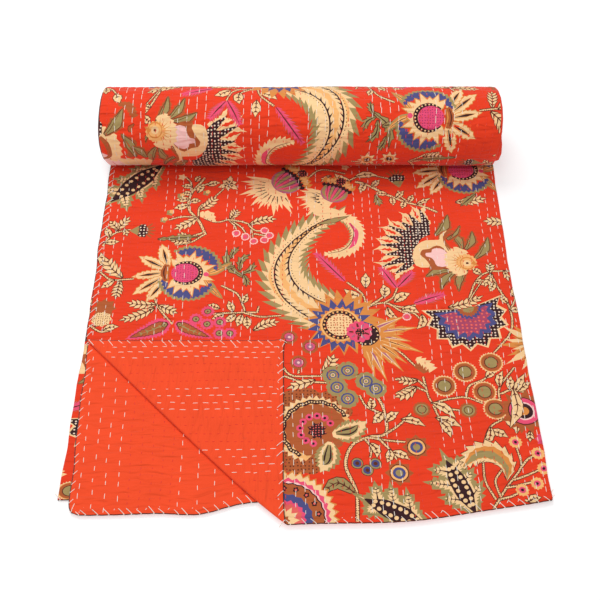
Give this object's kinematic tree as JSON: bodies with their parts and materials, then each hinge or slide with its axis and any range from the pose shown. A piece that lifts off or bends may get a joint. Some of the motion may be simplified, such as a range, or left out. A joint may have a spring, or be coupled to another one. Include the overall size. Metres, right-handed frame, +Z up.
{
  "type": "kantha quilt",
  "caption": "Hand-quilted cotton bed quilt, folded in layers, part rolled up, one front corner turned back to show the backing.",
  "frame": {"origin": "middle of the footprint, on the surface that the quilt lies on", "axes": "+Z up out of that surface; +Y from the front edge towards the roll; +X along the roll, to the right as seen from the front edge"},
  "size_m": [0.5872, 0.6567, 0.1164],
  "materials": {
    "quilt": "matte printed cotton with hand-run stitches"
  },
  "bodies": {
    "root": {"quilt": "quilt"}
  },
  "joints": []
}
